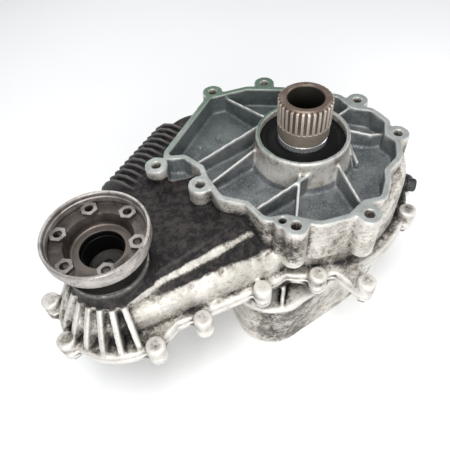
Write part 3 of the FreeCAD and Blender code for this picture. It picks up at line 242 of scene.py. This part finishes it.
# --------------------------------------------------------------- materials ----
def cast_metal(name):
    """Weathered aluminium casting; the mesh's attributes say where it is clean, grimy or machined, and
    where shade, highlights and a greenish reflection are painted on.
    """
    s = Shader(name, specular=0.2)
    soot_and_painted_light, clean, machined = s.attribute("soot_and_painted_light"), s.attribute("clean"), s.attribute("machined")
    edge, hollow, deep = s.attribute("edge"), s.attribute("hollow"), s.attribute("deep")
    green_reflection = s.attribute("green_reflection")
    grain = s.noise(1100, 3, 0.65)
    speck = s.noise(430, 4, 0.72)
    mottle = s.noise(125, 6, 0.70, warp=0.4)
    blotch = s.noise(36, 6, 0.62, warp=0.5)
    cloud = s.noise(13, 4, 0.55)
    streak = s.noise(310, 5, 0.68, stretch=(0.10, 0.75, 1))

    wall = s.mix(s.step(blotch, 0.38, 0.64), (0.72, 0.695, 0.645), (0.50, 0.472, 0.425))
    wall = s.mix(s.step(cloud, 0.50, 0.72, 0, 0.6), wall, (0.45, 0.43, 0.405))
    wall = s.mix(s.step(mottle, 0.52, 0.68, 0, 0.55), wall, (0.235, 0.190, 0.145))
    wall = s.mix(s.step(speck, 0.55, 0.72, 0, 0.55), wall, (0.12, 0.10, 0.085))
    floor = s.mix(s.step(blotch, 0.38, 0.64), (0.215, 0.228, 0.232), (0.120, 0.132, 0.138))
    floor = s.mix(s.step(speck, 0.50, 0.68, 0, 0.6), floor, (0.37, 0.385, 0.385))
    floor = s.mix(s.step(mottle, 0.54, 0.68, 0, 0.55), floor, (0.065, 0.072, 0.076))
    # painted greenish reflection: the recess floors go darker and greener towards the far side
    floor = s.mix(green_reflection, floor, (0.062, 0.092, 0.080))
    colour = s.mix(clean, wall, floor)
    colour = s.mix(s.math("MULTIPLY", edge, 0.62, True), colour, (0.82, 0.80, 0.765))
    face = s.mix(s.step(blotch, 0.36, 0.66), (0.47, 0.49, 0.475), (0.345, 0.368, 0.356))
    # painted greenish reflection on the machined faces of the far side
    face = s.mix(green_reflection, face, (0.060, 0.125, 0.078))
    face = s.mix(s.step(mottle, 0.52, 0.68, 0, 0.5), face, (0.20, 0.21, 0.20))
    face = s.mix(s.step(speck, 0.58, 0.74, 0, 0.5), face, (0.60, 0.61, 0.60))
    colour = s.mix(machined, colour, face)

    # grime, with painted shade added from the creases (hollow) and the deep places (deep)
    grime_and_shade = s.sum((soot_and_painted_light, 1.0), (hollow, 0.17), (deep, 0.10), (edge, -0.36), (blotch, 0.62),
                 (mottle, 0.66), (speck, 0.52), (streak, 0.40), (machined, -1.1), (clean, -0.60))
    brown_film_and_shade = s.step(grime_and_shade, 1.15, 1.50, 0, 0.66)
    grime_and_shade = s.step(grime_and_shade, 1.30, 1.62)
    black = s.mix(s.step(mottle, 0.42, 0.62), (0.008, 0.007, 0.008), (0.040, 0.034, 0.032))
    black = s.mix(s.step(speck, 0.56, 0.74, 0, 0.7), black, (0.105, 0.088, 0.076))
    # painted highlight: the edges of the black parts, such as the far fins' tops, lighter grey
    black = s.mix(s.math("MULTIPLY", edge, 0.75, True), black, (0.150, 0.145, 0.140))
    # painted shade: near black in the creases, such as the gaps between fins
    black = s.mix(s.math("MULTIPLY", hollow, 0.85, True), black, (0.004, 0.004, 0.004))
    colour = s.mix(brown_film_and_shade, colour, (0.185, 0.158, 0.128))
    colour = s.mix(grime_and_shade, colour, black)
    rough = s.sum((grain, 0.24), (speck, 0.20), (machined, -0.10), (grime_and_shade, 0.06), (blotch, 0.12))
    rough = s.math("ADD", rough, 0.16)
    metal = s.math("MULTIPLY", s.math("SUBTRACT", 1.0, grime_and_shade), 0.5)
    s.bump(s.sum((grain, 0.4), (speck, 0.7), (mottle, 0.5)), 0.0007, 0.75)
    return s.finish(colour, rough, metal)


def steel(name, light, dark, stain, rough=0.3, stain_from=0.58, metallic=0.92, turned=None):
    """Bare steel with tint patches, fine scratches and stains."""
    s = Shader(name)
    cloud = s.noise(45, 5, 0.6)
    scratch = s.noise(420, 4, 0.65, stretch=turned or (1, 1, 0.12))
    spot = s.noise(130, 6, 0.68, warp=0.8)
    colour = s.mix(s.step(cloud, 0.32, 0.68), light, dark)
    stained = s.step(spot, stain_from, stain_from + 0.13)
    colour = s.mix(stained, colour, stain)
    roughness = s.math("ADD", s.sum((scratch, 0.26), (stained, 0.22)), rough - 0.13)
    s.bump(s.sum((scratch, 0.6), (spot, 0.5)), 0.00022, 0.5)
    bare = s.math("SUBTRACT", 1.0, s.math("MULTIPLY", stained, 0.6))
    return s.finish(colour, roughness, s.math("MULTIPLY", bare, metallic))


def forged_flange(name, axis):
    """Forged flange: machined bright outside, dark and rust-tinted in the cup, with painted shade,
    black, in the bore.
    """
    seat_height, cup_radius = (0.0275, 0.0288), (0.0466, 0.0460)
    shell_radius, hub_radius, hub_height = (0.0462, 0.0472), (0.0300, 0.0285), (0.0105, 0.0113)
    bore_radius, below_height, skirt_radius = (0.0221, 0.0214), (0.020, 0.012), (0.0295, 0.031)
    s = Shader(name)
    radius, height = s.radius(axis), s.height()
    cloud = s.noise(55, 6, 0.65, warp=0.5)
    spot = s.noise(170, 6, 0.7, warp=0.9)
    scratch = s.noise(380, 4, 0.65, stretch=(1, 1, 0.12))
    dark = s.mix(s.step(cloud, 0.35, 0.66), (0.150, 0.128, 0.118), (0.060, 0.050, 0.046))
    dark = s.mix(s.step(spot, 0.54, 0.68, 0, 0.8), dark, (0.115, 0.058, 0.032))
    bright = s.mix(s.step(cloud, 0.36, 0.64), (0.56, 0.53, 0.50), (0.33, 0.30, 0.28))
    bright = s.mix(s.step(spot, 0.56, 0.70), bright, (0.13, 0.095, 0.075))
    seat = s.mix(s.step(cloud, 0.36, 0.64), (0.36, 0.335, 0.315), (0.20, 0.18, 0.17))
    worn = s.math("MULTIPLY", s.step(height, *seat_height), s.step(radius, *cup_radius))
    colour = s.mix(worn, dark, seat)
    shell = s.step(radius, *shell_radius)
    colour = s.mix(shell, colour, bright)
    hub = s.math("MULTIPLY", s.step(radius, *hub_radius), s.step(height, *hub_height))
    colour = s.mix(s.math("MULTIPLY", hub, 0.8), colour, (0.17, 0.145, 0.125))
    # painted shade: near black in the bore
    bore = s.step(radius, *bore_radius)
    colour = s.mix(bore, colour, (0.010, 0.009, 0.009))
    below = s.step(height, *below_height)
    shade = s.math("MULTIPLY", below, s.step(radius, *skirt_radius))
    colour = s.mix(shade, colour, (0.020, 0.018, 0.017))
    rough = s.math("ADD", s.sum((scratch, 0.22), (spot, 0.20)), 0.20)
    s.bump(s.sum((scratch, 0.6), (spot, 0.6)), 0.00025, 0.5)
    return s.finish(colour, rough, 0.72)


def splined_hub(name):
    """Coupling hub: tan, lightly rusted outside, light on the teeth's tips, oily and dark inside, with
    painted shade, near black, deep in the bore.
    """
    tip_radius, gap_radius, bore_radius = (0.0278, 0.0288), (0.0280, 0.0268), (0.0200, 0.0192)
    teeth_height, collar_height, deep_height = (0.0295, 0.0315), (0.0315, 0.0295), (0.060, 0.030)
    s = Shader(name)
    radius, height = s.radius(0.0), s.height()
    cloud = s.noise(60, 5, 0.6, warp=0.4)
    spot = s.noise(210, 6, 0.7, warp=0.6)
    grain = s.noise(520, 4, 0.65, stretch=(1, 1, 0.4))
    colour = s.mix(s.step(cloud, 0.36, 0.64), (0.50, 0.425, 0.365), (0.285, 0.225, 0.190))
    colour = s.mix(s.step(spot, 0.52, 0.68, 0, 0.85), colour, (0.120, 0.080, 0.058))
    tips = s.math("MULTIPLY", s.step(radius, *tip_radius), 0.70)
    colour = s.mix(tips, colour, (0.62, 0.555, 0.49))
    gaps = s.math("MULTIPLY", s.step(radius, *gap_radius), s.step(height, *teeth_height))
    colour = s.mix(s.math("MULTIPLY", gaps, 0.75), colour, (0.105, 0.070, 0.052))
    collar = s.math("MULTIPLY", s.step(height, *collar_height), 0.6)
    colour = s.mix(collar, colour, (0.40, 0.34, 0.27))
    colour = s.mix(s.step(radius, *bore_radius), colour, (0.050, 0.044, 0.033))
    # painted shade: near black deep in the bore
    deep = s.math("MULTIPLY", s.step(radius, *bore_radius), s.step(height, *deep_height))
    colour = s.mix(deep, colour, (0.010, 0.009, 0.008))
    rough = s.math("ADD", s.sum((grain, 0.26), (spot, 0.22)), 0.18)
    s.bump(s.sum((grain, 0.5), (spot, 0.7)), 0.0003, 0.6)
    return s.finish(colour, rough, 0.62)


def rubber(name):
    """Black oiled rubber with dust in it."""
    s = Shader(name, specular=0.16)
    dust = s.noise(260, 5, 0.7)
    colour = s.mix(s.step(dust, 0.56, 0.80), (0.0025, 0.0025, 0.003), (0.012, 0.0115, 0.011))
    s.bump(dust, 0.0002, 0.5)
    return s.finish(colour, s.step(dust, 0.4, 0.7, 0.46, 0.72))


def plastic(name, colour=(0.016, 0.016, 0.018)):
    s = Shader(name, roughness=0.5)
    grain = s.noise(800, 3, 0.5)
    wear = s.noise(90, 5, 0.6)
    tone = s.mix(s.step(wear, 0.55, 0.75), colour, (0.07, 0.065, 0.06))
    s.bump(grain, 0.00015, 0.4)
    return s.finish(tone, s.step(wear, 0.3, 0.7, 0.38, 0.62))


def stage_paint():
    s = Shader("pale_floor", roughness=0.9, specular=0.1)
    mottle = s.noise(5, 3, 0.5)
    return s.finish(s.mix(mottle, (0.93, 0.93, 0.93), (0.955, 0.955, 0.955)))


CAST = cast_metal("cast_aluminium")
HUB = splined_hub("hub_steel")
CHROME = steel("polished_sleeve", (0.86, 0.86, 0.87), (0.72, 0.72, 0.73), (0.34, 0.32, 0.29),
               0.26, 0.70, 0.85, turned=(1, 1, 8))
BEARING = steel("bearing_steel", (0.62, 0.62, 0.63), (0.48, 0.48, 0.49), (0.20, 0.17, 0.13), 0.2, 0.68)
GEAR = steel("gear_steel", (0.40, 0.39, 0.38), (0.26, 0.25, 0.245), (0.10, 0.08, 0.05), 0.28, 0.62)
CHAIN = steel("chain_steel", (0.27, 0.26, 0.25), (0.17, 0.165, 0.16), (0.07, 0.055, 0.04), 0.33, 0.6)
IRON = forged_flange("flange_iron", OUT_X)
REAR_IRON = forged_flange("rear_flange_iron", 0.0)
BOLT = steel("bolt_steel", (0.36, 0.34, 0.30), (0.16, 0.15, 0.14), (0.06, 0.05, 0.04), 0.36, 0.52, 0.8)
DARK_STEEL = steel("dark_sheet", (0.09, 0.085, 0.08), (0.045, 0.042, 0.04), (0.06, 0.035, 0.02),
                   0.4, 0.56, 0.7)
BRONZE = steel("bush_bronze", (0.62, 0.45, 0.20), (0.48, 0.33, 0.14), (0.22, 0.14, 0.06), 0.26, 0.66)
RUBBER = rubber("seal_rubber")
PLASTIC = plastic("black_plastic")
FERRITE = plastic("magnet_ferrite", (0.05, 0.05, 0.055))

SLOT_MATERIAL = {"case": CAST, "hub": HUB, "sleeve": CHROME, "seal": RUBBER, "bearing": BEARING,
                 "gear": GEAR, "chain": CHAIN, "flange": IRON, "circlip": DARK_STEEL,
                 "shield": DARK_STEEL, "bolt": BOLT, "magnet": FERRITE, "plug": BEARING,
                 "breather": PLASTIC, "bush": BRONZE}
NODE_MATERIAL = {"rear_output_flange": REAR_IRON, "front_output_shaft": DARK_STEEL}


# ---------------------------------------------------------- cast surfaces ----
class Net:
    """Vertices of a mesh with their neighbours, for smoothing in numpy."""

    def __init__(self, mesh):
        self.mesh = mesh
        self.count = len(mesh.vertices)
        flat = np.zeros(self.count * 3)
        mesh.vertices.foreach_get("co", flat)
        self.points = flat.reshape(-1, 3)
        edges = np.zeros(len(mesh.edges) * 2, int)
        mesh.edges.foreach_get("vertices", edges)
        self.edges = edges.reshape(-1, 2)
        self.degree = np.maximum(np.bincount(edges, minlength=self.count), 1)

    def average(self, values):
        """Mean of each vertex's neighbours, of a plain value or of a point."""
        a, b = self.edges.T
        columns = values.reshape(self.count, -1)
        total = np.stack([np.bincount(a, column[b], self.count)
                          + np.bincount(b, column[a], self.count) for column in columns.T], axis=1)
        return (total / self.degree[:, None]).reshape(values.shape)

    def blurred(self, values, times):
        for _ in range(times):
            values = values + (self.average(values) - values) * 0.5
        return values

    def normals(self):
        flat = np.zeros(self.count * 3)
        self.mesh.vertices.foreach_get("normal", flat)
        return flat.reshape(-1, 3)

    def move(self, points):
        self.points = points
        self.mesh.vertices.foreach_set("co", points.ravel())
        self.mesh.update()

    def keep(self, name, values):
        """Store a value per vertex for the material."""
        layer = self.mesh.attributes.new(name, "FLOAT", "POINT")
        layer.data.foreach_set("value", np.clip(values, 0, 1).astype(np.float32))


def ramp(values, low, high):
    """Straight ramp from 0 at low to 1 at high."""
    return np.clip((values - low) / (high - low), 0, 1)


def casting(node, voxel, planes, rounds):
    """Remeshed copy of a cast node: its corners get fillets, its machined planes stay flat."""
    piece = bpy.data.objects.new(node + "_casting", NODES[node].data.copy())
    SCENE.collection.objects.link(piece)
    weld = piece.modifiers.new("Weld", "WELD")
    weld.merge_threshold = WELD_GAP
    remesh = piece.modifiers.new("Remesh", "REMESH")
    remesh.mode = "VOXEL"
    remesh.voxel_size = voxel
    graph = bpy.context.evaluated_depsgraph_get()
    mesh = bpy.data.meshes.new_from_object(piece.evaluated_get(graph))
    piece.modifiers.clear()
    piece.data = mesh
    net = Net(mesh)
    normals = net.normals()
    machined = np.zeros(net.count)
    for height, sign in planes:
        near = (abs(net.points[:, 2] - height) < voxel * 0.4) & (normals[:, 2] * sign > FACES_UP)
        net.points[near, 2] = height
        machined[near] = 1
    points = net.points.copy()
    for _ in range(rounds):
        step = (net.average(points) - points) * 0.5
        step[machined > 0, 2] = 0
        step[machined > 0, :2] *= 0.8
        points = points + step
    net.move(points)
    normals = net.normals()
    close = ((points - net.blurred(points, CLOSE_ROUNDS)) * normals).sum(1)
    net.keep("edge", ramp(net.blurred(close, 2), 0.0003, 0.0013))
    # hollow marks creases and deep marks deep places; the casting's material darkens both with grime
    # and painted shade
    net.keep("hollow", ramp(net.blurred(-close, 2), 0.0002, 0.0014))
    wide = ((points - net.blurred(points, WIDE_ROUNDS)) * normals).sum(1)
    net.keep("deep", ramp(net.blurred(-wide, 3), 0.0005, 0.0050))
    net.keep("machined", net.blurred(machined, 1))
    mesh.polygons.foreach_set("use_smooth", np.ones(len(mesh.polygons), bool))
    piece.data.materials.clear()
    piece.data.materials.append(CAST)
    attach(piece, "case")
    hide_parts(node)
    return net, normals


def inside_land(net, normals, machined):
    """True for the points inside the gearbox face's land, found sector by sector round the input."""
    x, y, z = net.points.T
    reach = np.hypot(x, y)
    sectors = 90
    sector = ((np.degrees(np.arctan2(y, x)) + 180) // (360 / sectors)).astype(int) % sectors
    land = (np.abs(z - FACE) < ON_PLANE) & (machined > 0.5) & (reach > 0.075)
    middle = np.zeros(sectors)
    for k in range(sectors):
        here = reach[land & (sector == k)]
        middle[k] = np.median(here) if len(here) else 0.0
    facing = (x * normals[:, 0] + y * normals[:, 1]) / np.maximum(reach, 1e-6)
    depth = middle[sector] - reach
    return (depth > 0) & ((facing < 0.3) | (depth > 0.010)) & (z > -0.0275) & (z < 0.001)


def shade_front(net, normals):
    """Where the front case is grimy or clean, where shade and highlights are painted on, and where a
    greenish reflection is painted.
    """
    x, y, z = net.points.T
    reach = np.hypot(x, y)
    machined = ((np.abs(z - FACE) < ON_PLANE) & (normals[:, 2] > FACES_UP)).astype(float)
    recess = inside_land(net, normals, machined)
    boss = (reach > 0.047) & (reach < 0.056) & (z > -0.018)

    # bands of grime along the arm, with painted highlights along the ridge and the shoulder, but not
    # on the upright faces beside the drum
    arm = ramp(-x, 0.062, 0.098) * ramp(0.034 - y, 0.0, 0.02)
    upright = np.abs(normals[:, 2]) < 0.4
    arm[upright & (z > -0.047) & (reach < 0.155)] = 0.0
    profile = np.interp(z, BAND_HEIGHTS, BAND_SOOT_AND_HIGHLIGHT)
    patch = ramp(-x, 0.095, 0.125) * ramp(x, -0.232, -0.205)
    dark_band = (z > -0.0445) & (z < -0.0315)
    profile = np.where(dark_band, profile * (0.45 + 0.55 * patch), profile)
    # the rest of the wall, a little darker lower down, with painted shade low down on the near right
    wall = 0.20 + 0.06 * ramp(-z, 0.040, 0.080)
    wall += 0.50 * ramp(x, 0.070, 0.096) * ramp(-z, 0.044, 0.060) * ramp(-y, 0.0, 0.035)
    soot_and_painted_light = wall * (1 - arm) + profile * arm
    # black grime on the arm's flat top, and painted shade, black, on the far side
    flat_top = (z > -0.0245) & (z < -0.012) & (normals[:, 2] > 0.5)
    soot_and_painted_light = np.where(flat_top & (x < -0.070) & (reach > 0.075), 1.0, soot_and_painted_light)
    far = ramp(y - 0.30 * (x + 0.17), 0.036, 0.050) * ramp(reach, 0.088, 0.094)
    soot_and_painted_light = np.maximum(soot_and_painted_light, far * (x < -0.02) * (z < -0.012))
    # the joint between the cases, and the shade below the drum
    soot_and_painted_light += 0.22 * ramp(-np.abs(z - PARTING), -0.0028, -0.0008)
    under = ramp(reach, 0.156, 0.140) * ramp(-x, 0.070, 0.095) * ramp(-y, 0.0, 0.02)
    under = under * ramp(0.045 - np.abs(z + 0.030), 0.02, 0.035)
    soot_and_painted_light += 0.24 * under
    # the end fins are even; the output neck is dark; the recess is clean
    fan = ramp(-x, 0.252, 0.266) * ramp(-z, 0.026, 0.040)
    soot_and_painted_light = soot_and_painted_light * (1 - fan) + 0.24 * fan
    neck = (np.hypot(x - OUT_X, y) < 0.046) & (z > -0.03)
    soot_and_painted_light[neck] = 0.75
    soot_and_painted_light[recess] = 0.0
    # this value holds grime together with painted shade and highlights
    net.keep("soot_and_painted_light", net.blurred(soot_and_painted_light, 4))
    net.keep("clean", net.blurred((recess & ~boss).astype(float), 2))
    # painted greenish reflection on the far lands and recess floors, and on the far side of the boss
    # top
    green_reflection = ramp(y + 0.25 * x, 0.01, 0.12) * np.where(z > -0.004, 0.85, 0.55 * recess)
    green_reflection += ramp(y - x, 0.01, 0.07) * (z > 0.008) * 0.7
    net.keep("green_reflection", green_reflection)


def shade_rear(net, normals):
    """Grime on the rear case, with painted shade under the lip; darker on one side round the pot and
    towards the far side.
    """
    x, y, z = net.points.T
    angle = np.degrees(np.arctan2(y, x))
    upright = np.abs(normals[:, 2]) < 0.6
    soot_and_painted_light = np.full(net.count, 0.13)
    # painted shade on the upright walls just under the lip
    soot_and_painted_light += 0.26 * ramp(z, -0.116, -0.096) * upright
    # darker on one side round the pot
    soot_and_painted_light += 0.22 * ramp(-np.abs(angle - DARKER_SIDE), -22, -8) * upright
    # darker towards the far side
    soot_and_painted_light += 0.35 * ramp(y, 0.0, 0.04)
    net.keep("soot_and_painted_light", net.blurred(soot_and_painted_light, 6))
    net.keep("clean", np.zeros(net.count))
    net.keep("green_reflection", np.zeros(net.count))


shade_front(*casting("front_case", FRONT_VOXEL, [(FACE, 1), (BOSS_TOP, 1)], FRONT_ROUNDS))
shade_rear(*casting("rear_case", REAR_VOXEL, [(BASE, -1)], REAR_ROUNDS))


# ------------------------------------------------------------ CAD nodes ----
slots = {entry["node"]: entry["material_slot"] for entry in frame["record"]["subparts"]}
for name, node in NODES.items():
    slot = slots[name]
    node.data.materials.clear()
    node.data.materials.append(NODE_MATERIAL.get(name, SLOT_MATERIAL[slot]))
    if slot in BEVELS:
        weld = node.modifiers.new("Weld", "WELD")
        weld.merge_threshold = WELD_GAP
        bevel = node.modifiers.new("Bevel", "BEVEL")
        bevel.width = BEVELS[slot]
        bevel.segments = 2
        bevel.angle_limit = BEVEL_ANGLE


# --------------------------------------------------------------- stage ----
def add_floor():
    mesh = bpy.data.meshes.new("floor")
    far = FLOOR_HALF
    corners = [(-far, -far, BASE), (far, -far, BASE), (far, far, BASE), (-far, far, BASE)]
    mesh.from_pydata(corners, [], [(0, 1, 2, 3)])
    floor = bpy.data.objects.new("floor", mesh)
    SCENE.collection.objects.link(floor)
    floor.data.materials.append(stage_paint())


add_camera()
add_floor()
world = bpy.data.worlds.new("Studio")
world.use_nodes = True
world.node_tree.nodes["Background"].inputs[0].default_value = WORLD_COLOUR
world.node_tree.nodes["Background"].inputs[1].default_value = WORLD_STRENGTH
SCENE.world = world
for name, (place, size, power) in LIGHTS.items():
    add_light(name, place, size, power)
SCENE.view_settings.view_transform = "Standard"
